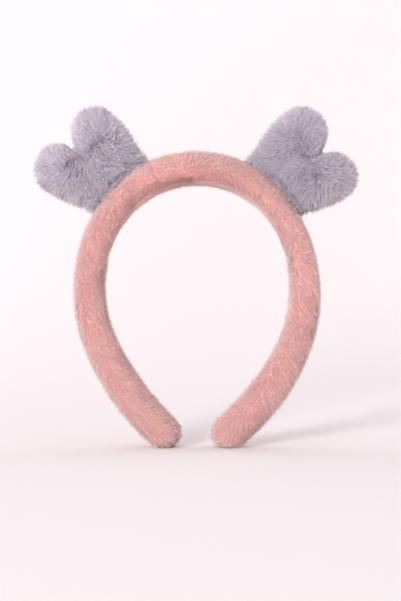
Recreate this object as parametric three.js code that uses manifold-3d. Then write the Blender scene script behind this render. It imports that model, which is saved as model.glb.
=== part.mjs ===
// Plush headband with two stuffed heart ears, standing on its two tips.
// Millimetres, +Z up, the front faces -Y and the head goes through along Y.
import * as THREE from "three";
import { mergeVertices } from "three/addons/utils/BufferGeometryUtils.js";
import Module from "manifold-3d";

const wasm = await Module();
wasm.setup();

// Hoop line: three arcs from the top down to a tip, the same on both sides.
const HOOP_TOP_Z = 172.6;
const HOOP_ARCS = [
  { name: "crown", radius: 61, sweepDeg: 50 },
  { name: "side", radius: 85, sweepDeg: 66.5 },
  { name: "leg", radius: 175, sweepDeg: 20.5 },
];

// Padding about the hoop line at even steps from the left tip over the top to the right tip:
// how far it reaches outward and inward, lining included, and its depth from front to back.
const PADDING = [
  { outward: 10.5, inward: 11.8, depth: 26 },
  { outward: 10.7, inward: 11.9, depth: 27 },
  { outward: 9.6, inward: 11.2, depth: 27 },
  { outward: 9.3, inward: 10.1, depth: 27 },
  { outward: 10.4, inward: 8.8, depth: 28 },
  { outward: 10.4, inward: 10.4, depth: 28 },
  { outward: 10.4, inward: 10.7, depth: 28 },
  { outward: 10.5, inward: 9.3, depth: 28 },
  { outward: 10.2, inward: 7.4, depth: 28 },
  { outward: 10.3, inward: 8.7, depth: 27 },
  { outward: 11.4, inward: 9.3, depth: 27 },
  { outward: 12.6, inward: 10.4, depth: 27 },
  { outward: 10.8, inward: 11.8, depth: 26 },
];
const ROLL_OUTER_SQUARENESS = 0.86;
const ROLL_INNER_SQUARENESS = 0.72;
const ROLL_DEPTH_SQUARENESS = 0.86;
const ROLL_SECTION_POINTS = 28;
const ROLL_STATIONS = 56;
const TIP_RINGS = 6;

// Lining strip on the inner face of the crown: a lip at the top that thins over the shoulders to its ends.
const LINING_PROUD_AT_TOP = 2.4;
const LINING_PROUD_AT_ENDS = 1.3;
const LINING_THINS_FROM = 32;
const LINING_THIN_AT = 72;
const LINING_WIDTH = 17;
const LINING_END_SHARE = 0.38;
const LINING_SQUARENESS = 0.5;
const LINING_SECTION_POINTS = 14;
const LINING_STATIONS = 28;
const LINING_END_RINGS = 4;
const LINING_END_BLEND = 10;

// Clear space between sewn pieces, and the depth of the block that flattens the tips.
const SEAM_GAP = 0.3;
const FLOOR_BLOCK = 60;

// Hearts: base point on the roll, direction of the axis, and the lobes about that axis.
const HEARTS = [
  {
    node: "heart_left", side: -1, baseX: 47.8, baseZ: 163.1, axisDeg: 38.5, notch: 32.5,
    upper: { along: 32.3, across: 16.7, radius: 14.5, baseHalf: 20.5 },
    lower: { along: 34.4, across: 15.8, radius: 15.6, baseHalf: 18.5 },
  },
  {
    node: "heart_right", side: 1, baseX: 48.6, baseZ: 162.4, axisDeg: 34.5, notch: 34.2,
    upper: { along: 32.5, across: 17.3, radius: 15.7, baseHalf: 20.5 },
    lower: { along: 33.0, across: 16.3, radius: 15.1, baseHalf: 18.5 },
  },
];
const HEART_BASE_ALONG = -9;
const HEART_SIDE_PULL_ALONG = 17;
const HEART_MIDDLE_ALONG = 16;
const HEART_HALF_AT_BASE = 8.8;
const HEART_HALF_AT_LOBES = 12.6;
const HEART_FULL_ALONG = 26;
const HEART_PLUMPNESS = 3.4;
const HEART_OUTLINE_POINTS = 72;
const HEART_RINGS = 9;

const FABRICS = {
  band_roll: { color: "#dca4a1", roughness: 0.95 },
  band_lining: { color: "#cf9995", roughness: 0.95 },
  heart_left: { color: "#b4a8b5", roughness: 0.95 },
  heart_right: { color: "#b0a4b1", roughness: 0.95 },
};

// Hoop line

const HOOP_HALF_LENGTH = HOOP_ARCS.reduce(
  (sum, arc) => sum + arc.radius * THREE.MathUtils.degToRad(arc.sweepDeg), 0);

// Point on the hoop line at a distance from the top, and the way out from the head there.
function hoopAt(distance) {
  const side = distance < 0 ? -1 : 1;
  let left = Math.abs(distance);
  let heading = 0;
  let x = 0;
  let z = HOOP_TOP_Z;
  HOOP_ARCS.forEach((arc, index) => {
    const isLast = index === HOOP_ARCS.length - 1;
    const full = arc.radius * THREE.MathUtils.degToRad(arc.sweepDeg);
    const run = isLast ? left : Math.min(left, full);
    const next = heading + run / arc.radius;
    x += arc.radius * (Math.sin(next) - Math.sin(heading));
    z += arc.radius * (Math.cos(next) - Math.cos(heading));
    heading = next;
    left -= run;
  });
  return {
    point: new THREE.Vector3(side * x, 0, z),
    out: new THREE.Vector3(side * Math.sin(heading), 0, Math.cos(heading)),
    along: new THREE.Vector3(Math.cos(heading), 0, -side * Math.sin(heading)),
  };
}

// One measure of the padding at a distance from the top, as a smooth curve through its rows.
function paddingAt(distance, column) {
  const curve = new THREE.SplineCurve(PADDING.map((row, index) => new THREE.Vector2(index, row[column])));
  return curve.getPoint((distance / HOOP_HALF_LENGTH + 1) / 2).y;
}

// Solids

function signedPower(value, power) {
  return Math.sign(value) * Math.abs(value) ** power;
}

// Solid from corner places in a row and the corners of its triangles.
function closedSolid(places, corners) {
  return new wasm.Manifold(new wasm.Mesh({
    numProp: 3,
    vertProperties: Float32Array.from(places),
    triVerts: Uint32Array.from(corners),
  }));
}

// Block under the floor that flattens the tips.
function floorBlock() {
  const box = new THREE.BoxGeometry(FLOOR_BLOCK * 2, FLOOR_BLOCK, FLOOR_BLOCK).translate(0, 0, -FLOOR_BLOCK / 2);
  box.deleteAttribute("normal");
  box.deleteAttribute("uv");
  const merged = mergeVertices(box);
  return closedSolid(merged.attributes.position.array, merged.index.array);
}

// Closed solid through a row of rings with the same count, ended by a point at each end.
function loftRings(rings, startPoint, endPoint) {
  const count = rings[0].length;
  const points = [startPoint, ...rings.flat(), endPoint];
  const triangles = [];
  const last = points.length - 1;
  for (let i = 0; i < count; i += 1) {
    const next = (i + 1) % count;
    triangles.push([0, 1 + i, 1 + next]);
    for (let ring = 0; ring < rings.length - 1; ring += 1) {
      const here = 1 + ring * count;
      const ahead = here + count;
      triangles.push([here + i, ahead + next, here + next]);
      triangles.push([here + i, ahead + i, ahead + next]);
    }
    const top = 1 + (rings.length - 1) * count;
    triangles.push([last, top + next, top + i]);
  }
  return closedSolid(points.flatMap((point) => point.toArray()), triangles.flat());
}

// How far the lining stands proud of the roll at a distance from the top.
function liningProud(distance) {
  return THREE.MathUtils.lerp(LINING_PROUD_AT_TOP, LINING_PROUD_AT_ENDS,
    THREE.MathUtils.smoothstep(Math.abs(distance), LINING_THINS_FROM, LINING_THIN_AT));
}

// How far the roll gives way to the lining at a distance from the top: nothing past its end.
function liningRoom(distance) {
  const end = HOOP_HALF_LENGTH * LINING_END_SHARE;
  return liningProud(distance) * (1 - THREE.MathUtils.smoothstep(Math.abs(distance), end, end + LINING_END_BLEND));
}

// How far the roll reaches inward at the middle of its inner face.
function rollInward(distance) {
  return paddingAt(distance, "inward") - liningRoom(distance);
}

// One ring of the roll, scaled toward the hoop line and pushed along it for the round tips.
function rollRing(distance, grow, scale, push) {
  const { point, out, along } = hoopAt(distance);
  const outer = paddingAt(distance, "outward") + grow;
  const inner = rollInward(distance) + grow;
  const halfDepth = paddingAt(distance, "depth") / 2 + grow;
  const ring = [];
  for (let i = 0; i < ROLL_SECTION_POINTS; i += 1) {
    const turn = (i / ROLL_SECTION_POINTS) * 2 * Math.PI;
    const rise = Math.cos(turn);
    const radial = rise > 0
      ? outer * signedPower(rise, ROLL_OUTER_SQUARENESS)
      : inner * signedPower(rise, ROLL_INNER_SQUARENESS);
    const across = halfDepth * signedPower(Math.sin(turn), ROLL_DEPTH_SQUARENESS);
    ring.push(point.clone()
      .addScaledVector(along, push)
      .addScaledVector(out, radial * scale)
      .add(new THREE.Vector3(0, across * scale, 0)));
  }
  return ring;
}

// The padded roll from the left tip to the right tip, grown outward by a small amount.
function rollSolid(grow) {
  const rings = [];
  const tipRadius = (distance) => paddingAt(distance, "outward") + grow;
  for (let i = 1; i <= TIP_RINGS; i += 1) {
    const turn = (i / (TIP_RINGS + 1)) * Math.PI / 2;
    rings.push(rollRing(-HOOP_HALF_LENGTH, grow, Math.sin(turn), -tipRadius(-HOOP_HALF_LENGTH) * Math.cos(turn)));
  }
  for (let i = 0; i <= ROLL_STATIONS; i += 1) {
    rings.push(rollRing(HOOP_HALF_LENGTH * (2 * i / ROLL_STATIONS - 1), grow, 1, 0));
  }
  for (let i = TIP_RINGS; i >= 1; i -= 1) {
    const turn = (i / (TIP_RINGS + 1)) * Math.PI / 2;
    rings.push(rollRing(HOOP_HALF_LENGTH, grow, Math.sin(turn), tipRadius(HOOP_HALF_LENGTH) * Math.cos(turn)));
  }
  const ends = [-1, 1].map((side) => {
    const { point, along } = hoopAt(side * HOOP_HALF_LENGTH);
    return point.addScaledVector(along, side * tipRadius(side * HOOP_HALF_LENGTH));
  });
  return loftRings(rings, ends[0], ends[1]);
}

// How far the roll's inner face lies from the hoop line, at a place across its depth.
function rollInwardAt(distance, across) {
  const halfDepth = paddingAt(distance, "depth") / 2;
  const sine = (Math.abs(across) / halfDepth) ** (1 / ROLL_DEPTH_SQUARENESS);
  return rollInward(distance) * Math.sqrt(1 - sine * sine) ** ROLL_INNER_SQUARENESS;
}

// The lining strip, a rounded section bent to the roll's inner face, with a half-round end on each side.
function liningSolid() {
  const halfWidth = LINING_WIDTH / 2;
  const straight = HOOP_HALF_LENGTH * LINING_END_SHARE - halfWidth;
  const pointAt = (distance, across, level) => {
    const { point, out } = hoopAt(distance);
    const thick = liningProud(distance) - SEAM_GAP;
    const inward = rollInwardAt(distance, across) + SEAM_GAP + thick * (1 - level) / 2;
    return point.addScaledVector(out, -inward).add(new THREE.Vector3(0, across, 0));
  };
  const ringAt = (distance, width) => {
    const ring = [];
    for (let i = 0; i < LINING_SECTION_POINTS; i += 1) {
      const turn = (i / LINING_SECTION_POINTS) * 2 * Math.PI;
      const level = signedPower(Math.cos(turn), LINING_SQUARENESS);
      const across = halfWidth * width * signedPower(Math.sin(turn), LINING_SQUARENESS);
      ring.push(pointAt(distance, across, level));
    }
    return ring;
  };
  const rings = [];
  for (let i = 1; i <= LINING_END_RINGS; i += 1) {
    const turn = (i / (LINING_END_RINGS + 1)) * Math.PI / 2;
    rings.push(ringAt(-straight - halfWidth * Math.cos(turn), Math.sin(turn)));
  }
  for (let i = 0; i <= LINING_STATIONS; i += 1) {
    rings.push(ringAt(straight * (2 * i / LINING_STATIONS - 1), 1));
  }
  for (let i = LINING_END_RINGS; i >= 1; i -= 1) {
    const turn = (i / (LINING_END_RINGS + 1)) * Math.PI / 2;
    rings.push(ringAt(straight + halfWidth * Math.cos(turn), Math.sin(turn)));
  }
  const end = straight + halfWidth;
  return loftRings(rings, pointAt(-end, 0, 0), pointAt(end, 0, 0));
}

// Angle at a lobe's centre to the point where a line from the notch touches the lobe.
function touchAngle(centre, radius, notch, turnSide) {
  const toNotch = notch.clone().sub(centre);
  return toNotch.angle() + turnSide * Math.acos(radius / toNotch.length());
}

// Outline of a heart in its own plane, across and along, from the notch round and back.
function heartOutline({ upper, lower, notch }) {
  const notchPoint = new THREE.Vector2(0, notch);
  const upperCentre = new THREE.Vector2(upper.across, upper.along);
  const lowerCentre = new THREE.Vector2(-lower.across, lower.along);
  const shape = new THREE.Shape();
  shape.moveTo(notchPoint.x, notchPoint.y);
  shape.absarc(upperCentre.x, upperCentre.y, upper.radius,
    touchAngle(upperCentre, upper.radius, notchPoint, -1), 0, true);
  shape.quadraticCurveTo(upperCentre.x + upper.radius, HEART_SIDE_PULL_ALONG, upper.baseHalf, HEART_BASE_ALONG);
  shape.lineTo(-lower.baseHalf, HEART_BASE_ALONG);
  shape.quadraticCurveTo(lowerCentre.x - lower.radius, HEART_SIDE_PULL_ALONG,
    lowerCentre.x - lower.radius, lowerCentre.y);
  shape.absarc(lowerCentre.x, lowerCentre.y, lower.radius,
    Math.PI, touchAngle(lowerCentre, lower.radius, notchPoint, 1), true);
  shape.lineTo(notchPoint.x, notchPoint.y);
  return shape.getSpacedPoints(HEART_OUTLINE_POINTS).slice(0, HEART_OUTLINE_POINTS);
}

// A stuffed heart: rings of its outline shrink to the middle while the face swells.
function heartSolid(heart) {
  const axis = THREE.MathUtils.degToRad(heart.axisDeg);
  const base = new THREE.Vector3(heart.side * heart.baseX, 0, heart.baseZ);
  const along = new THREE.Vector3(heart.side * Math.cos(axis), 0, Math.sin(axis));
  const across = new THREE.Vector3(-heart.side * Math.sin(axis), 0, Math.cos(axis));
  const middle = new THREE.Vector2(0, HEART_MIDDLE_ALONG);
  const outline = heartOutline(heart);
  const place = (flat, share, face) => {
    const spot = middle.clone().lerp(flat, share);
    const half = THREE.MathUtils.lerp(HEART_HALF_AT_BASE, HEART_HALF_AT_LOBES,
      THREE.MathUtils.smoothstep(spot.y, 0, HEART_FULL_ALONG));
    const swell = half * Math.sqrt(1 - share ** HEART_PLUMPNESS);
    return base.clone()
      .addScaledVector(across, spot.x)
      .addScaledVector(along, spot.y)
      .add(new THREE.Vector3(0, -heart.side * face * swell, 0));
  };
  const rings = [];
  for (let i = 1; i < 2 * HEART_RINGS; i += 1) {
    const turn = (i / HEART_RINGS) * Math.PI / 2;
    const share = i === HEART_RINGS ? 1 : Math.sin(turn);
    rings.push(outline.map((flat) => place(flat, share, Math.sign(HEART_RINGS - i))));
  }
  return loftRings(rings, place(middle, 0, 1), place(middle, 0, -1));
}

// Assembly

// Mesh with its own fabric from a finished solid.
function nodeMesh(name, solid) {
  const { numProp, vertProperties, triVerts } = solid.getMesh();
  const geometry = new THREE.BufferGeometry();
  const shared = new THREE.InterleavedBuffer(vertProperties, numProp);
  geometry.setAttribute("position", new THREE.InterleavedBufferAttribute(shared, 3, 0));
  geometry.setIndex(new THREE.BufferAttribute(triVerts, 1));
  geometry.computeVertexNormals();
  const mesh = new THREE.Mesh(geometry, new THREE.MeshStandardMaterial({ ...FABRICS[name], metalness: 0 }));
  mesh.name = name;
  return mesh;
}

const grownRoll = rollSolid(SEAM_GAP);

const headband = new THREE.Group();
headband.name = "heart_ear_headband";
headband.add(nodeMesh("band_roll", rollSolid(0).subtract(floorBlock())));
headband.add(nodeMesh("band_lining", liningSolid()));
HEARTS.forEach((heart) => headband.add(nodeMesh(heart.node, heartSolid(heart).subtract(grownRoll))));

export default headband;
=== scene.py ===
"""Looks of a plush headband with two stuffed heart ears, standing on its two tips.

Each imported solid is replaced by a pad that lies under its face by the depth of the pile. The hoop and
the hearts are swelled by cloth pressure, and the thin lining keeps its form. The pile is grown on the
pads strand by strand. A strand is a lock of fibres, drawn coarser than one real fibre so that it shows.
"""

import math

import bpy
import numpy as np
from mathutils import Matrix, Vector
from mathutils.bvhtree import BVHTree
from mathutils.kdtree import KDTree


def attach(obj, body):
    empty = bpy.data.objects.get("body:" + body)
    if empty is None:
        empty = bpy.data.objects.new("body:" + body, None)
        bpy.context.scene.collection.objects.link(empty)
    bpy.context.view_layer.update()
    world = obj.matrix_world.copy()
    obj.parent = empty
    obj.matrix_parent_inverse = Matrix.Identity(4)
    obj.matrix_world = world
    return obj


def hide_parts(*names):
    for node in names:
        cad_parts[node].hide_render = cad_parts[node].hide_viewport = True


bl_info = {
    "name": "Heart Ear Headband",
    "version": (1, 0, 0),
    "blender": (4, 5, 0),
    "location": "3D View > Sidebar > Headband",
    "description": "Stuffed pads, plush pile and studio stage for a headband with heart ears",
    "category": "Object",
}

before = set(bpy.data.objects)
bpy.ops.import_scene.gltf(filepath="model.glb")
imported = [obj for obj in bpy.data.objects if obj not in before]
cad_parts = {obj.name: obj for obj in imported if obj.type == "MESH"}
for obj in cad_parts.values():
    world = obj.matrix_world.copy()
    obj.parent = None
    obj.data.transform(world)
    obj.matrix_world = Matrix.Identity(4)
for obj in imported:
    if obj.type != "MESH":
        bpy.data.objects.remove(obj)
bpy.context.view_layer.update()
MM = 0.001
TINY = 1e-9

# Seeds of the random draws: the hoop's, the lining's and the hearts'.
SEED = 20
LINING_SEED = SEED + 10
HEART_SEED = SEED + 20

# Hoop line, in millimetres: three arcs from the top down to a tip, the same on both sides.
HOOP_TOP_Z = 172.6
HOOP_STEPS = 240
HOOP_ARCS = (
    {"radius": 61.0, "sweep": 50.0},
    {"radius": 85.0, "sweep": 66.5},
    {"radius": 175.0, "sweep": 20.5},
)

# Hearts, in millimetres: base point on the hoop, angle of the axis, then places across and along that
# axis: the crease that runs in from the notch, and the two whorls that the pile grows away from.
# The shade is painted shade: how much darker than the middle tone a heart's strands are painted,
# most on the right heart, which the light from the left reaches less.
HEARTS = {
    "heart_left": {
        "side": -1, "base": (47.8, 163.1), "axis": 38.5, "slot": "grey_plush_left", "shade": 0.06,
        "crease": ((0.0, 39.0), (-0.6, 34.0), (-0.8, 27.8)),
        "whorls": ((15.0, 23.5), (-12.0, 32.0)),
    },
    "heart_right": {
        "side": 1, "base": (48.6, 162.4), "axis": 34.5, "slot": "grey_plush_right", "shade": 0.36,
        "crease": ((0.0, 41.0), (-0.2, 35.0), (-1.0, 29.0), (4.0, 24.5)),
        "whorls": ((14.0, 29.0), (-10.5, 25.0)),
    },
}

# Crease of a heart: width and depth of the fold, how far the pile is cropped beside it and by how much,
# and how much painted shade darkens the strands in it.
CREASE_WIDTH = 1.8 * MM
CREASE_DEPTH = 2.2 * MM
CREASE_REACH = 6.5 * MM
CREASE_CROP = 0.6
CREASE_PAINTED_SHADE = 0.3

# Pile of a heart: over what distance strands lie down round the whorls, and how much they shorten
# where they stand upright, as on the rim, and at the sewn base.
WHORL_SOFT = 3 * MM
RIM_CROP = 0.15
BASE_CROP = 0.4

# Sewn seams: how near a neighbour the pile stays cropped, over what distance it grows to full, its height
# there, and how much the hoop's strands shorten, turn inward and come loose from their tufts there.
SEAM_BARE = 0.6 * MM
SEAM_BLEND = 4.5 * MM
SEAM_PILE = 0.12
SEAM_CROP = 0.12
SEAM_COMB = 0.75
SEAM_LOOSE = 0.85

# Pads: size of the even faces, with none for a strip that keeps its own; how tight the stuffing is;
# places drawn for each strand; and how near above a place a neighbour's face keeps a strand from growing.
BAND_PAD = {"voxel": 2.5 * MM, "fill": 0.8, "draws": 4, "clear": 0.5 * MM}
LINING_PAD = {"voxel": None, "fill": 0.9, "draws": 3, "clear": 0.45 * MM}
HEART_PAD = {"voxel": 1.2 * MM, "fill": 0.8, "draws": 2, "clear": 2 * MM}
SMOOTH_PASSES = 2

# Stuffing: the cloth, the frames that it swells for, the furthest that a point moves, and which points
# stay: those near a neighbour and those near the floor.
CLOTH = {
    "use_pressure": True, "uniform_pressure_force": 4.0, "bending_stiffness": 10.0,
    "tension_stiffness": 40.0, "compression_stiffness": 40.0,
}
CLOTH_FRAMES = 20
STUFFING_CAP = 0.6 * MM
SEWN_GAP = 1.5 * MM
STANDING_HEIGHT = 3 * MM

# Strands: how deep roots sit in the pad, how far points stay above the floor, how much a strand is
# shaded as its pad is, and how unlike strands are in lean, in radians, and in length.
ROOT_DEPTH = 0.3 * MM
FLOOR_GAP = 0.05 * MM
PAD_SHADE = 0.2
LEAN_SPREAD = 0.16
LENGTH_RANGE = (0.6, 1.15)

# Guard hairs: their share of the strands, and their lean, length and width beside the others'.
GUARD = {"share": 0.25, "lean": 0.6, "length": 1.2, "width": 0.5}

# Form of a strand: angles of its three root points round it, in degrees; its faces, with the tip as
# point 3; how many points it has; and half a face's width and the root face's height on the tone chart.
STRAND_EDGES = (90, 210, 330)
STRAND_FACES = ((0, 1, 3), (1, 2, 3), (2, 0, 3), (2, 1, 0))
STRAND_POINTS = 4
CHART_HALF = 0.004
CHART_BASE = 0.02

# Tones of the strands: the middle, the ends, and how far a tuft and a strand in it stray from it.
TONE_MIDDLE = 0.5
TONE_RANGE = (0.02, 0.98)
TUFT_TONE = 0.28
STRAND_TONE = 0.2

# Crown of the hoop: where the pile parts along the hoop, over what distance strands turn away from there,
# how far the upward sweep over the crown reaches, and how strong it is.
CROWN_PARTING = -9 * MM
PARTING_BLEND = 14 * MM
CROWN_REACH = 38 * MM
CROWN_SWEEP = 1.1

# Ridge round the hoop: half the width that strands spread over, how much they spread to both sides,
# and how far the spread shifts to the right.
RIDGE_HALF = 9 * MM
RIDGE_SPREAD = 0.6
NAP_BIAS = 0.6

# Legs of the hoop: where the crown's piece of pile ends, where the legs' shorter pile starts,
# over what distance, and how much shorter it is.
THIRD_OF_HOOP = 75 * MM
LEG_START = 40 * MM
LEG_BLEND = 35 * MM
LEG_CROP = 0.12

# Pile of the lining: how much strands on its edge turn in and out, how far from the top they do, over
# what distance that fades, and how long strands on its flat face are beside those on its edge.
EDGE_RUFFLE = 0.8
EDGE_REACH = 30 * MM
EDGE_FADE = 30 * MM
FLAT_LENGTH = 0.35

# Layers of wandering values: strength, size of the lumps, seed. Turns are in radians. A value is a sum of
# waves, each at a pace of its own.
BAND_TURN = (
    {"strength": 0.35, "size": 22 * MM, "seed": SEED + 1},
    {"strength": 0.42, "size": 7 * MM, "seed": SEED + 2},
)
HEART_TURN = (
    {"strength": 0.38, "size": 20 * MM, "seed": SEED + 3},
    {"strength": 0.26, "size": 6 * MM, "seed": SEED + 4},
)
TONE_PATCHES = (
    {"strength": 0.1, "size": 25 * MM, "seed": SEED + 5},
    {"strength": 0.12, "size": 4.5 * MM, "seed": SEED + 9},
)
RUFFLE = {"strength": 0.25, "size": 6 * MM, "seeds": (SEED + 6, SEED + 7, SEED + 8)}
WAVES = 6
WAVE_PACE = (0.7, 1.4)

# Materials: place of the body colour along a strand, size of a knit stitch, how much darker the hollows
# between stitches are painted as painted shade, and size of the paper's tooth.
BODY_PLACE = 0.45
STITCH = 0.8 * MM
STITCH_PAINTED_SHADE = 0.85
PAPER_TOOTH = 2 * MM

# Studio, in metres: the paper's profile, linear tint of the fill light, the point that lamps face, the
# sensor's width in millimetres, the nearest point that the camera sees, and its place to the right.
PAPER = {"front": -3.5, "floor_end": 0.35, "sweep": 1.35, "top": 3.5, "half_width": 3.0, "steps": 12}
FILL_TINT = (1.0, 0.965, 0.97, 1.0)
LAMP_AIM = (0, 0, 0.1)
SENSOR_WIDTH = 36.0
NEAREST_SEEN = 0.01
LENS_SIDE = 2.8 * MM

# Drops the depth of a point, as when it is seen from the front.
FLAT = np.array([1, 0, 1])


# Settings

def plush_settings(height, length, width, lean, stray, tuft, pull, spread, strands, root, body, tip):
    """Settings that every plush piece has, with this piece's defaults in millimetres and degrees."""
    distance = {"subtype": "DISTANCE", "unit": "LENGTH"}
    angle = {"subtype": "ANGLE", "unit": "ROTATION"}
    return {
        "height": bpy.props.FloatProperty(
            name="Pile Height", description="Depth of the pile over its backing",
            default=height * MM, **distance),
        "length": bpy.props.FloatProperty(
            name="Strand Length", description="From the backing to the tip",
            default=length * MM, **distance),
        "width": bpy.props.FloatProperty(
            name="Strand Width", description="Width of a lock of fibres at its root",
            default=width * MM, **distance),
        "lean": bpy.props.FloatProperty(
            name="Lean", description="How far strands lie over from upright",
            default=math.radians(lean), **angle),
        "stray": bpy.props.FloatProperty(
            name="Stray", description="How far strands turn from the lie",
            default=math.radians(stray), **angle),
        "tuft": bpy.props.IntProperty(
            name="Tuft", description="Strands that draw together into one tuft", default=tuft),
        "pull": bpy.props.FloatProperty(
            name="Tuft Pull", description="How far the tips of a tuft draw together",
            default=pull, subtype="FACTOR"),
        "spread": bpy.props.FloatProperty(
            name="Tone Spread", description="How unlike in tone tufts and strands are", default=spread),
        "strands": bpy.props.IntProperty(
            name="Strands", description="Most strands in one pile piece", default=strands),
        # Root colour: painted shade deep in the pile and between the tufts. Tip colour: a painted
        # highlight on the fibre ends, paling the rims.
        "root": bpy.props.StringProperty(
            name="Root Colour", description="sRGB colour deep in the pile", default=root),
        "body": bpy.props.StringProperty(
            name="Body Colour", description="sRGB colour of most of a strand", default=body),
        "tip": bpy.props.StringProperty(
            name="Tip Colour", description="sRGB colour of the fibre ends", default=tip),
    }


class BandPlush(bpy.types.PropertyGroup):
    """Short dusty pink plush of the hoop."""

    __annotations__ = plush_settings(
        height=1.7, length=4.0, width=0.36, lean=57, stray=18,
        tuft=8, pull=0.75, spread=0.9, strands=45000,
        # Root: painted shade deep in the pile; tip: painted highlight on the fibre ends.
        root="#DA8A83", body="#E9AFAB", tip="#FDE2DF")


class LiningPlush(bpy.types.PropertyGroup):
    """Cropped pink plush of the lining strip."""

    __annotations__ = plush_settings(
        height=0.6, length=2.6, width=0.34, lean=60, stray=26,
        tuft=5, pull=0.5, spread=0.8, strands=15000,
        # All three are painted light: paler than the hoop's pink, standing in for light bounced onto the
        # lining's shaded underside. The root is still painted shade deep in the pile, and the tip a
        # painted highlight.
        root="#F9A39C", body="#FFC8C2", tip="#FFDDD8")


class HeartPlush(bpy.types.PropertyGroup):
    """Longer lavender grey plush of the hearts."""

    __annotations__ = plush_settings(
        height=2.8, length=5.0, width=0.32, lean=55, stray=26,
        tuft=6, pull=0.85, spread=2.2, strands=45000,
        # Root: painted shade deep in the pile; tip: painted highlight on the fibre ends.
        root="#9A909C", body="#D3C8D6", tip="#E0D7E2")


class StudioStage(bpy.types.PropertyGroup):
    """Backdrop, light and camera of the picture."""

    paper: bpy.props.StringProperty(
        name="Paper Colour", description="sRGB colour of the seamless paper", default="#F2ECEE")
    level: bpy.props.FloatProperty(
        name="Fill at Eye Level", description="Brightness of the fill light from the sides",
        default=0.96)
    overhead: bpy.props.FloatProperty(
        name="Fill Overhead", description="Brightness of the fill light from above", default=0.49)
    key: bpy.props.FloatProperty(
        name="Key Light", description="Power of the large soft light at the front left",
        default=63.0, subtype="POWER", unit="POWER")
    sides: bpy.props.FloatProperty(
        name="Side Lights", description="Power of each soft light at the sides, a little behind",
        default=9.0, subtype="POWER", unit="POWER")
    distance: bpy.props.FloatProperty(
        name="Camera Distance", description="From the lens to the middle plane of the hoop",
        default=0.75, subtype="DISTANCE", unit="LENGTH")
    height: bpy.props.FloatProperty(
        name="Camera Height", description="Height of the lens above the floor",
        default=0.0908, subtype="DISTANCE", unit="LENGTH")
    view: bpy.props.FloatProperty(
        name="View Height", description="Height that the picture takes in at the hoop",
        default=0.3726, subtype="DISTANCE", unit="LENGTH")


# Materials

def linear(hex_colour):
    """Linear RGBA of an sRGB hex colour."""
    channels = [int(hex_colour[i:i + 2], 16) / 255 for i in (1, 3, 5)]
    bright = [c / 12.92 if c <= 0.04045 else ((c + 0.055) / 1.055) ** 2.4 for c in channels]
    return (*bright, 1.0)


def add_node(tree, kind, settings=None, links=None):
    """Adds a node, sets its inputs, attributes or ramp stops by name, and links its inputs."""
    node = tree.nodes.new(kind)
    for name, value in (settings or {}).items():
        if name == "stops":
            for place, colour in value[1:-1]:
                node.color_ramp.elements.new(place).color = colour
            for element, (place, colour) in zip(node.color_ramp.elements, value):
                element.position = place
                element.color = colour
        elif name in node.inputs:
            node.inputs[name].default_value = value
        else:
            setattr(node, name, value)
    for name, socket in (links or {}).items():
        tree.links.new(socket, node.inputs[name])
    return node


def new_material(name, settings):
    """A material with its shader set up and nothing linked to it yet."""
    material = bpy.data.materials.new(name)
    material.use_nodes = True
    tree = material.node_tree
    tree.nodes.clear()
    shader = add_node(tree, "ShaderNodeBsdfPrincipled", settings)
    add_node(tree, "ShaderNodeOutputMaterial", links={"Surface": shader.outputs["BSDF"]})
    return material, tree, shader


def brushed_plush(name, plush):
    """Brushed polyester pile: a soft matt body and tufts unlike in tone.

    The roots are painted darker as painted shade deep in the pile and between the tufts, and the fibre
    ends are painted paler as a painted highlight on the rims. A sheen in the colour of the fibre ends,
    and light that passes a little way into the fibres, keep the rims soft and pale.
    """
    material, tree, shader = new_material(name, {
        "Roughness": 0.8, "Specular IOR Level": 0.25,
        "Sheen Weight": 1.0, "Sheen Roughness": 0.5, "Sheen Tint": linear(plush.tip),
        "Subsurface Weight": 0.5, "Subsurface Radius": (1.0, 1.0, 1.0), "Subsurface Scale": 0.12 * MM})
    place = add_node(tree, "ShaderNodeUVMap", {"uv_map": "OFBake"})
    split = add_node(tree, "ShaderNodeSeparateXYZ", links={"Vector": place.outputs["UV"]})
    # The ramp paints shade at the root and a highlight at the tip of every strand.
    stops = ((0.0, linear(plush.root)), (BODY_PLACE, linear(plush.body)), (1.0, linear(plush.tip)))
    strand = add_node(tree, "ShaderNodeValToRGB", {"stops": stops}, {"Fac": split.outputs["Y"]})
    shade = add_node(tree, "ShaderNodeMapRange", {"To Min": 0.78, "To Max": 1.12},
                     {"Value": split.outputs["X"]})
    tone = add_node(tree, "ShaderNodeVectorMath", {"operation": "SCALE"},
                    {0: strand.outputs["Color"], "Scale": shade.outputs["Result"]})
    tree.links.new(tone.outputs["Vector"], shader.inputs["Base Color"])
    return material


def knit_backing(name, colour):
    """Knitted polyester backing: a close matt knit that shows only as shade between the tufts.

    The hollows between its stitches are painted darker as painted shade.
    """
    material, tree, shader = new_material(name, {"Roughness": 0.95, "Specular IOR Level": 0.2})
    place = add_node(tree, "ShaderNodeTexCoord")
    knit = add_node(tree, "ShaderNodeTexNoise", {"Scale": 1 / STITCH, "Detail": 2.0},
                    {"Vector": place.outputs["Object"]})
    light = linear(colour)
    # Painted shade: the hollows between stitches are darker.
    dark = (*(channel * STITCH_PAINTED_SHADE for channel in light[:3]), 1.0)
    yarn = add_node(tree, "ShaderNodeValToRGB", {"stops": ((0.3, dark), (0.7, light))},
                    {"Fac": knit.outputs["Fac"]})
    bump = add_node(tree, "ShaderNodeBump", {"Strength": 0.5, "Distance": STITCH / 2},
                    {"Height": knit.outputs["Fac"]})
    tree.links.new(yarn.outputs["Color"], shader.inputs["Base Color"])
    tree.links.new(bump.outputs["Normal"], shader.inputs["Normal"])
    return material


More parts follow.
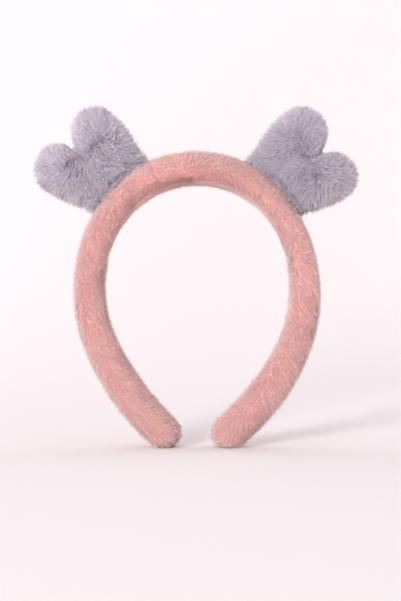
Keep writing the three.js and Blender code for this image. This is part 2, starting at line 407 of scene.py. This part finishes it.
def seamless_paper(colour):
    """Seamless background paper: matt, with a very faint tooth."""
    material, tree, shader = new_material("Seamless paper, matt", {
        "Base Color": linear(colour), "Roughness": 1.0, "Specular IOR Level": 0.0})
    place = add_node(tree, "ShaderNodeTexCoord")
    tooth = add_node(tree, "ShaderNodeTexNoise", {"Scale": 1 / PAPER_TOOTH, "Detail": 3.0},
                     {"Vector": place.outputs["Object"]})
    bump = add_node(tree, "ShaderNodeBump", {"Strength": 0.04, "Distance": 0.1 * MM},
                    {"Height": tooth.outputs["Fac"]})
    tree.links.new(bump.outputs["Normal"], shader.inputs["Normal"])
    return material


# Measures along the hoop and over a surface

def hoop_line():
    """Steps along the hoop, in metres: point, distance from the top, way to the right, way outward."""
    half = sum(arc["radius"] * math.radians(arc["sweep"]) for arc in HOOP_ARCS)
    rows = []
    for distance in np.linspace(-half, half, HOOP_STEPS):
        side = math.copysign(1, distance)
        left = abs(distance)
        heading = 0.0
        x = 0.0
        z = HOOP_TOP_Z
        for arc in HOOP_ARCS:
            run = min(left, arc["radius"] * math.radians(arc["sweep"]))
            ahead = heading + run / arc["radius"]
            x += arc["radius"] * (math.sin(ahead) - math.sin(heading))
            z += arc["radius"] * (math.cos(ahead) - math.cos(heading))
            heading = ahead
            left -= run
        rows.append((side * x, 0, z, distance,
                     math.cos(heading), 0, -side * math.sin(heading),
                     side * math.sin(heading), 0, math.cos(heading)))
    rows = np.array(rows)
    return {
        "points": rows[:, 0:3] * MM, "distance": rows[:, 3] * MM,
        "to_right": rows[:, 4:7], "outward": rows[:, 7:10],
    }


HOOP = hoop_line()


def point_tree(points, indices):
    """Search tree that finds the nearest of some points by index."""
    tree = KDTree(len(indices))
    for index in indices:
        tree.insert(points[index], int(index))
    tree.balance()
    return tree


def nearest_on_hoop(points):
    """Index of the hoop step nearest to each point."""
    tree = point_tree(HOOP["points"], range(len(HOOP["points"])))
    return np.array([tree.find(point)[1] for point in points])


def surface_tree(nodes):
    """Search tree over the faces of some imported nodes."""
    places = []
    faces = []
    for node in nodes:
        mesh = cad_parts[node].data
        first = len(places)
        places.extend(vertex.co.copy() for vertex in mesh.vertices)
        faces.extend([first + index for index in polygon.vertices] for polygon in mesh.polygons)
    return BVHTree.FromPolygons(places, faces)


def gaps(points, tree):
    """Distance from each point to the nearest face of a search tree."""
    return np.array([tree.find_nearest(point)[3] for point in points])


def near_seam(points, tree):
    """One at a sewn seam, and none where the pile has grown to full."""
    return 1 - np.clip((gaps(points, tree) - SEAM_BARE) / SEAM_BLEND, 0, 1)


def nearest_on_path(points, path):
    """The nearest place on a path of straight runs to each point, seen from the front."""
    flat = points * FLAT
    best = np.full(len(points), np.inf)
    places = np.zeros_like(points)
    for start, end in zip(path, path[1:]):
        line = end - start
        share = np.clip((flat - start) @ line / (line @ line), 0, 1)
        near = start + share[:, None] * line
        reach = np.linalg.norm(flat - near, axis=1)
        closer = reach < best
        best[closer] = reach[closer]
        places[closer] = near[closer]
    return places, best


def hump(distances, width):
    """Smooth value of one at no distance, gone past about twice the width."""
    return np.exp(-(distances / width) ** 2)


def unit(vectors):
    """Vectors scaled to length one."""
    return vectors / np.maximum(np.linalg.norm(vectors, axis=-1, keepdims=True), TINY)


def on_surface(vectors, normals):
    """The part of each vector that lies along the surface."""
    return vectors - normals * np.sum(vectors * normals, axis=1, keepdims=True)


def turned(combs, normals, angles):
    """Combing directions turned about the surface normals."""
    return combs * np.cos(angles)[:, None] + np.cross(normals, combs) * np.sin(angles)[:, None]


def swell(points, size, seed):
    """Smooth wandering value from -1 to 1 with lumps of about the given size."""
    rng = np.random.default_rng(seed)
    total = np.zeros(len(points))
    for _ in range(WAVES):
        way = unit(rng.normal(size=3))
        pace = math.pi / size * rng.uniform(*WAVE_PACE)
        total += np.sin(points @ way * pace + rng.uniform(0, 2 * math.pi))
    return np.clip(total / (WAVES / 2), -1, 1)


def wander(points, layers):
    """Sum of layers of wandering values."""
    return sum(layer["strength"] * swell(points, layer["size"], layer["seed"]) for layer in layers)


# Pads

def apply_modifiers(pad):
    """Replaces a pad's mesh with the result of its modifiers."""
    evaluated = pad.evaluated_get(bpy.context.evaluated_depsgraph_get())
    mesh = bpy.data.meshes.new_from_object(evaluated)
    pad.modifiers.clear()
    pad.data = mesh


def mesh_arrays(mesh):
    """Vertex places and vertex normals of a mesh."""
    places = np.empty(len(mesh.vertices) * 3)
    mesh.vertices.foreach_get("co", places)
    normals = np.empty(len(mesh.vertices) * 3)
    mesh.vertex_normals.foreach_get("vector", normals)
    return places.reshape(-1, 3), normals.reshape(-1, 3)


def stuff(pad, sewn):
    """Swells a pad by cloth pressure. Sewn points stay, and no point moves further than a small cap."""
    before, _ = mesh_arrays(pad.data)
    group = pad.vertex_groups.new(name="Sewn")
    group.add([int(index) for index in np.nonzero(sewn)[0]], 1.0, "REPLACE")
    cloth = pad.modifiers.new("Stuffing", "CLOTH")
    for name, value in CLOTH.items():
        setattr(cloth.settings, name, value)
    cloth.settings.vertex_group_mass = group.name
    cloth.settings.effector_weights.gravity = 0.0
    scene = bpy.context.scene
    for number in range(1, CLOTH_FRAMES + 1):
        scene.frame_set(number)
    apply_modifiers(pad)
    scene.frame_set(1)
    after, _ = mesh_arrays(pad.data)
    move = after - before
    reach = np.linalg.norm(move, axis=1, keepdims=True)
    move *= np.minimum(1, STUFFING_CAP / np.maximum(reach, TINY))
    pad.data.vertices.foreach_set("co", (before + move).ravel())
    pad.vertex_groups.clear()


def make_pad(name, node, form, plush, backing, beside, crease=None):
    """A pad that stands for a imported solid, under its face by the depth of the pile.
    """
    voxel = form["voxel"]
    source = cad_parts[node]
    pad = bpy.data.objects.new(name, source.data.copy())
    bpy.context.scene.collection.objects.link(pad)
    if voxel:
        remesh = pad.modifiers.new("Even faces", "REMESH")
        remesh.mode = "VOXEL"
        remesh.voxel_size = voxel
        smooth = pad.modifiers.new("Smooth", "SMOOTH")
        smooth.iterations = SMOOTH_PASSES
        apply_modifiers(pad)
    places, normals = mesh_arrays(pad.data)
    gap = gaps(places, beside)
    depth = np.full(len(gap), plush.height)
    if voxel:
        depth *= np.clip((gap - SEAM_BARE) / SEAM_BLEND, SEAM_PILE, 1)
    sewn = (gap < SEWN_GAP) | (places[:, 2] < STANDING_HEIGHT)
    if crease:
        away = nearest_on_path(places, crease)[1]
        depth *= 1 - CREASE_CROP * hump(away, CREASE_REACH)
        depth += CREASE_DEPTH * hump(away, CREASE_WIDTH)
        sewn |= away < CREASE_WIDTH
    pad.data.vertices.foreach_set("co", (places - normals * depth[:, None]).ravel())
    if voxel:
        stuff(pad, sewn)
    pad.data.materials.clear()
    pad.data.materials.append(backing)
    pad.data.shade_smooth()
    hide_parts(node)
    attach(pad, "root")
    return pad


# Pile

def scatter(pad, form, strands, beside, rng):
    """Places spread at random over a pad where nothing is sewn on, with the pad's normal at each."""
    count = strands * form["draws"]
    mesh = pad.data
    mesh.calc_loop_triangles()
    places, normals = mesh_arrays(mesh)
    corners = np.empty(len(mesh.loop_triangles) * 3, dtype=np.int32)
    mesh.loop_triangles.foreach_get("vertices", corners)
    corners = corners.reshape(-1, 3)
    a, b, c = (places[corners[:, i]] for i in range(3))
    area = np.linalg.norm(np.cross(b - a, c - a), axis=1)
    chosen = rng.choice(len(corners), size=count, p=area / area.sum())
    weights = rng.dirichlet((1, 1, 1), size=count)
    spots = np.einsum("ij,ijk->ik", weights, places[corners[chosen]])
    ways = unit(np.einsum("ij,ijk->ik", weights, normals[corners[chosen]]))
    clear = [beside.ray_cast(spot, way, form["clear"])[0] is None for spot, way in zip(spots, ways)]
    return spots[clear], ways[clear]


def strand_tips(roots, normals, combs, lengths, loose, plush, rng):
    """Tips drawn together into tufts, each strand's leading strand, and which ones are guard hairs."""
    count = len(roots)
    combs = turned(combs, normals, rng.normal(0, plush.stray, count))
    lean = plush.lean + rng.normal(0, LEAN_SPREAD, count)
    reach = plush.length * lengths * rng.uniform(*LENGTH_RANGE, count)
    guard = rng.uniform(size=count) < GUARD["share"]
    lean[guard] *= GUARD["lean"]
    reach[guard] *= GUARD["length"]
    ways = unit(normals * np.cos(lean)[:, None] + combs * np.sin(lean)[:, None])
    tips = roots + ways * reach[:, None]
    tree = point_tree(roots, rng.choice(count, size=count // plush.tuft, replace=False))
    leader = np.array([tree.find(root)[1] for root in roots])
    pull = rng.uniform(plush.pull / 2, plush.pull, count) * ~guard * (1 - loose)
    return tips + (tips[leader] - tips) * pull[:, None], leader, guard


def strand_mesh(name, roots, tips, normals, widths, tones):
    """One mesh of closed three-sided strands that taper to a tip, shaded a little as their pad is."""
    count = len(roots)
    run = unit(tips - roots)
    side = unit(np.cross(run, normals))
    rise = np.cross(run, side)
    ring = [side * math.cos(turn) + rise * math.sin(turn) for turn in np.radians(STRAND_EDGES)]
    places = np.stack([roots + way * widths[:, None] / 2 for way in ring] + [tips], axis=1)
    places[..., 2] = np.maximum(places[..., 2], FLOOR_GAP)
    corners = (np.arange(count)[:, None, None] * STRAND_POINTS + np.array(STRAND_FACES)).ravel()
    mesh = bpy.data.meshes.new(name)
    mesh.vertices.add(count * STRAND_POINTS)
    mesh.vertices.foreach_set("co", places.ravel())
    mesh.loops.add(len(corners))
    mesh.loops.foreach_set("vertex_index", corners.astype(np.int32))
    mesh.polygons.add(len(corners) // 3)
    mesh.polygons.foreach_set("loop_start", np.arange(0, len(corners), 3, dtype=np.int32))
    mesh.update(calc_edges=True)
    mesh.shade_smooth()
    root_edge = [(-CHART_HALF, 0), (CHART_HALF, 0)]
    face_chart = (root_edge + [(0, 1)]) * len(STRAND_EDGES) + root_edge + [(0, CHART_BASE)]
    chart = np.array(face_chart)[None] + np.stack([tones, np.zeros(count)], axis=1)[:, None]
    mesh.uv_layers.new(name="OFBake").uv.foreach_set("vector", chart.ravel())
    soft = [unit(normals * PAD_SHADE + way * (1 - PAD_SHADE)) for way in (*ring, -rise)]
    mesh.normals_split_custom_set_from_vertices(np.stack(soft, axis=1).reshape(-1, 3))
    pile = bpy.data.objects.new(name, mesh)
    bpy.context.scene.collection.objects.link(pile)
    return pile


def tuft_tones(spots, leader, shade, spread, rng):
    """Tone of every strand from 0 to 1, less any painted shade: broad patches, then by tuft, then by
    strand.
    """
    own = rng.uniform(-1, 1, len(spots))
    tuft = rng.uniform(-1, 1, len(spots))[leader]
    patch = wander(spots, TONE_PATCHES)
    stray = spread * (TUFT_TONE * tuft + STRAND_TONE * own)
    return np.clip(TONE_MIDDLE - shade + patch + stray, *TONE_RANGE)


def grow_pile(name, spots, normals, combs, lengths, plush, material, rng, shade=0.0, loose=0.0):
    """Grows one pile piece and attaches it to the root body. Where it is loose its tufts draw together
    less.
    """
    tips, leader, guard = strand_tips(spots, normals, combs, lengths, loose, plush, rng)
    # A shade, where given, darkens every strand's tone as painted shade.
    tones = tuft_tones(spots, leader, shade, plush.spread, rng)
    widths = plush.width * np.where(guard, GUARD["width"], 1)
    pile = strand_mesh(name, spots - normals * ROOT_DEPTH, tips, normals, widths, tones)
    pile.data.materials.append(material)
    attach(pile, "root")


def band_comb(spots, normals, inward):
    """Lie of the hoop's pile: up and apart over the crown, down the legs to the right, inward if asked."""
    step = nearest_on_hoop(spots)
    outward = HOOP["outward"][step]
    distance = HOOP["distance"][step] - CROWN_PARTING
    offset = np.sum((spots - HOOP["points"][step]) * outward, axis=1) / RIDGE_HALF
    crown = hump(distance, CROWN_REACH)
    parted = np.tanh(distance / PARTING_BLEND)
    along = HOOP["to_right"][step] * parted[:, None]
    nap = np.clip(offset + NAP_BIAS * parted, -1, 1)
    off_ridge = outward * (nap * RIDGE_SPREAD * (1 - crown) + CROWN_SWEEP * crown)[:, None]
    flow = unit(on_surface(along + off_ridge, normals))
    flow = turned(flow, normals, wander(spots, BAND_TURN))
    return flow * (1 - np.abs(inward))[:, None] - on_surface(outward, normals) * inward[:, None]


def heart_point(heart, across, along):
    """A point of a heart in metres, from its base, across and along its axis in millimetres."""
    axis = math.radians(heart["axis"])
    x = heart["base"][0] + along * math.cos(axis) - across * math.sin(axis)
    z = heart["base"][1] + along * math.sin(axis) + across * math.cos(axis)
    return np.array([heart["side"] * x, 0, z]) * MM


def heart_path(heart, places):
    """Points of a heart in metres from places across and along its axis in millimetres."""
    return [heart_point(heart, *place) for place in places]


def heart_comb(spots, normals, heart, at_seam):
    """Lie of a heart's pile: from the line between its whorls out to the rim, and down over the seam."""
    near, reach = nearest_on_path(spots, heart_path(heart, heart["whorls"]))
    away = (spots * FLAT - near) / (reach + WHORL_SOFT)[:, None]
    flow = turned(on_surface(away, normals), normals, wander(spots, HEART_TURN))
    ruffle = np.stack([swell(spots, RUFFLE["size"], seed) for seed in RUFFLE["seeds"]], axis=1)
    flow += RUFFLE["strength"] * on_surface(ruffle, normals)
    down = unit(heart_point(heart, 0, 0) - heart_point(heart, 0, 1))
    return flow * (1 - at_seam)[:, None] + on_surface(down * at_seam[:, None], normals)


# Studio

def hang_paper(scene, stage):
    """Seamless paper: a floor that sweeps up into a backdrop."""
    profile = [(PAPER["front"], 0.0), (PAPER["floor_end"], 0.0)]
    for step in range(1, PAPER["steps"] + 1):
        angle = math.radians(90 * step / PAPER["steps"])
        y = PAPER["floor_end"] + PAPER["sweep"] * math.sin(angle)
        z = PAPER["sweep"] - PAPER["sweep"] * math.cos(angle)
        profile.append((y, z))
    profile.append((PAPER["floor_end"] + PAPER["sweep"], PAPER["top"]))
    vertices = [(x, y, z) for y, z in profile for x in (-PAPER["half_width"], PAPER["half_width"])]
    faces = [(2 * i, 2 * i + 1, 2 * i + 3, 2 * i + 2) for i in range(len(profile) - 1)]
    mesh = bpy.data.meshes.new("seamless_paper")
    mesh.from_pydata(vertices, [], faces)
    mesh.shade_smooth()
    mesh.materials.append(seamless_paper(stage.paper))
    paper = bpy.data.objects.new("seamless_paper", mesh)
    scene.collection.objects.link(paper)


def fill_with_light(scene, stage):
    """Fill light from all round, dimmer overhead than at eye level."""
    world = bpy.data.worlds.new("Studio fill")
    world.use_nodes = True
    tree = world.node_tree
    place = add_node(tree, "ShaderNodeTexCoord")
    split = add_node(tree, "ShaderNodeSeparateXYZ", links={"Vector": place.outputs["Generated"]})
    grade = add_node(tree, "ShaderNodeMapRange", {"To Min": stage.level, "To Max": stage.overhead},
                     {"Value": split.outputs["Z"]})
    fill = tree.nodes["Background"]
    fill.inputs["Color"].default_value = FILL_TINT
    tree.links.new(grade.outputs["Result"], fill.inputs["Strength"])
    scene.world = world


def place_lamps(scene, stage):
    """A soft box at the front left, and a wide one at each side, a little behind."""
    soft_boxes = {
        "Key soft box": {"power": stage.key, "size": (0.7, 0.7), "place": (-1.15, -2.55, 0.8)},
        "Left soft box": {"power": stage.sides, "size": (1.6, 0.4), "place": (-1.2, 0.7, 0.3)},
        "Right soft box": {"power": stage.sides, "size": (1.6, 0.4), "place": (1.2, 0.7, 0.3)},
    }
    for name, box in soft_boxes.items():
        lamp = bpy.data.lights.new(name, "AREA")
        lamp.shape = "RECTANGLE"
        lamp.size, lamp.size_y = box["size"]
        lamp.energy = box["power"]
        light = bpy.data.objects.new(name, lamp)
        light.location = box["place"]
        light.rotation_euler = (Vector(LAMP_AIM) - light.location).to_track_quat("-Z", "Y").to_euler()
        scene.collection.objects.link(light)


def place_camera(scene, stage):
    """Level camera in front of the hoop."""
    lens = bpy.data.cameras.new("Picture camera")
    lens.sensor_fit = "AUTO"
    lens.sensor_width = SENSOR_WIDTH
    lens.lens = SENSOR_WIDTH * stage.distance / stage.view
    lens.clip_start = NEAREST_SEEN
    camera = bpy.data.objects.new("Picture camera", lens)
    camera.location = (LENS_SIDE, -stage.distance, stage.height)
    camera.rotation_euler = (math.radians(90), 0, 0)
    scene.collection.objects.link(camera)
    scene.camera = camera


# Operators

class HEADBAND_OT_band(bpy.types.Operator):
    """Stuffs the hoop and grows its pink plush"""

    bl_idname = "headband.band"
    bl_label = "Plush Hoop"

    def execute(self, context):
        plush = context.scene.headband_band
        rng = np.random.default_rng(SEED)
        lining = surface_tree(["band_lining"])
        backing = knit_backing("Knit backing, pink", plush.body)
        pad = make_pad("band_pad", "band_roll", BAND_PAD, plush, backing, lining)
        pile = brushed_plush("Brushed plush, dusty pink", plush)
        beside = surface_tree(["band_lining", *HEARTS])
        spots, normals = scatter(pad, BAND_PAD, plush.strands, beside, rng)
        distance = HOOP["distance"][nearest_on_hoop(spots)]
        at_seam = near_seam(spots, lining)
        parts = {
            "band_pile_left_leg": distance < -THIRD_OF_HOOP,
            "band_pile_crown": np.abs(distance) <= THIRD_OF_HOOP,
            "band_pile_right_leg": distance > THIRD_OF_HOOP,
        }
        share = plush.strands / max(within.sum() for within in parts.values())
        for name, within in parts.items():
            chosen = np.nonzero(within)[0][:int(within.sum() * share)]
            on_leg = np.clip((np.abs(distance[chosen]) - LEG_START) / LEG_BLEND, 0, 1)
            combs = band_comb(spots[chosen], normals[chosen], SEAM_COMB * at_seam[chosen] * (1 - on_leg))
            lengths = (1 - SEAM_CROP * at_seam[chosen]) * (1 - LEG_CROP * on_leg)
            grow_pile(name, spots[chosen], normals[chosen], combs, lengths, plush, pile,
                      rng, loose=SEAM_LOOSE * at_seam[chosen])
        return {"FINISHED"}


class HEADBAND_OT_lining(bpy.types.Operator):
    """Lays the lining strip along the inner face of the hoop and grows its cropped plush"""

    bl_idname = "headband.lining"
    bl_label = "Lining Strip"

    def execute(self, context):
        plush = context.scene.headband_lining
        rng = np.random.default_rng(LINING_SEED)
        beside = surface_tree(["band_roll"])
        backing = knit_backing("Knit backing, lining", plush.body)
        pad = make_pad("lining_pad", "band_lining", LINING_PAD, plush, backing, beside)
        pile = brushed_plush("Brushed plush, lining pink", plush)
        spots, normals = scatter(pad, LINING_PAD, plush.strands, beside, rng)
        spots = spots[:plush.strands]
        normals = normals[:plush.strands]
        distance = np.abs(HOOP["distance"][nearest_on_hoop(spots)])
        on_edge = np.abs(normals[:, 1])
        at_crown = 1 - np.clip((distance - EDGE_REACH) / EDGE_FADE, 0, 1)
        inward = EDGE_RUFFLE * rng.uniform(-1, 1, len(spots)) * on_edge * at_crown
        combs = band_comb(spots, normals, inward)
        lengths = FLAT_LENGTH + (1 - FLAT_LENGTH) * on_edge
        grow_pile("lining_pile", spots, normals, combs, lengths, plush, pile, rng)
        return {"FINISHED"}


class HEADBAND_OT_hearts(bpy.types.Operator):
    """Stuffs the two hearts and grows their grey plush"""

    bl_idname = "headband.hearts"
    bl_label = "Plush Hearts"

    def execute(self, context):
        plush = context.scene.headband_hearts
        rng = np.random.default_rng(HEART_SEED)
        # The backing takes the root colour, painted shade, so that bare spots between tufts read as shade.
        backing = knit_backing("Knit backing, grey", plush.root)
        pile = brushed_plush("Brushed plush, lavender grey", plush)
        beside = surface_tree(["band_roll"])
        for node, heart in HEARTS.items():
            crease = heart_path(heart, heart["crease"])
            pad = make_pad(node + "_pad", node, HEART_PAD, plush, backing, beside, crease)
            spots, normals = scatter(pad, HEART_PAD, plush.strands, beside, rng)
            spots = spots[:plush.strands]
            normals = normals[:plush.strands]
            at_seam = near_seam(spots, beside)
            combs = heart_comb(spots, normals, heart, at_seam)
            lie = np.minimum(np.linalg.norm(combs, axis=1), 1)
            away = nearest_on_path(spots, crease)[1]
            cropped = 1 - CREASE_CROP * hump(away, CREASE_REACH)
            # Painted shade: the heart's own shade, and more in its crease, darkens the strands' tone.
            shade = heart["shade"] + CREASE_PAINTED_SHADE * hump(away, CREASE_WIDTH)
            lengths = cropped * (1 - RIM_CROP * (1 - lie)) * (1 - BASE_CROP * at_seam)
            grow_pile(node + "_pile", spots, normals, combs, lengths, plush, pile,
                      rng, shade=shade)
        return {"FINISHED"}


class HEADBAND_OT_stage(bpy.types.Operator):
    """Sets up the seamless paper, the soft light and the camera"""

    bl_idname = "headband.stage"
    bl_label = "Studio Stage"

    def execute(self, context):
        stage = context.scene.headband_stage
        context.scene.view_settings.view_transform = "Standard"
        hang_paper(context.scene, stage)
        fill_with_light(context.scene, stage)
        place_lamps(context.scene, stage)
        place_camera(context.scene, stage)
        return {"FINISHED"}


class HEADBAND_PT_sidebar(bpy.types.Panel):
    """Lists the headband's pieces and their settings"""

    bl_idname = "HEADBAND_PT_sidebar"
    bl_label = "Heart Ear Headband"
    bl_space_type = "VIEW_3D"
    bl_region_type = "UI"
    bl_category = "Headband"

    def draw(self, context):
        for operator, group in PIECES:
            box = self.layout.box()
            box.operator(operator.bl_idname)
            settings = getattr(context.scene, group)
            for name in settings.bl_rna.properties.keys():
                if name not in ("rna_type", "name"):
                    box.prop(settings, name)


PIECES = (
    (HEADBAND_OT_band, "headband_band"),
    (HEADBAND_OT_lining, "headband_lining"),
    (HEADBAND_OT_hearts, "headband_hearts"),
    (HEADBAND_OT_stage, "headband_stage"),
)
GROUPS = {
    "headband_band": BandPlush, "headband_lining": LiningPlush,
    "headband_hearts": HeartPlush, "headband_stage": StudioStage,
}
CLASSES = (*GROUPS.values(), *(operator for operator, _ in PIECES), HEADBAND_PT_sidebar)


def register():
    for entry in CLASSES:
        bpy.utils.register_class(entry)
    for name, group in GROUPS.items():
        setattr(bpy.types.Scene, name, bpy.props.PointerProperty(type=group))


def unregister():
    for name in GROUPS:
        delattr(bpy.types.Scene, name)
    for entry in reversed(CLASSES):
        bpy.utils.unregister_class(entry)


def main():
    register()
    bpy.ops.headband.band()
    bpy.ops.headband.lining()
    bpy.ops.headband.hearts()
    bpy.ops.headband.stage()


if __name__ == "__main__":
    main()
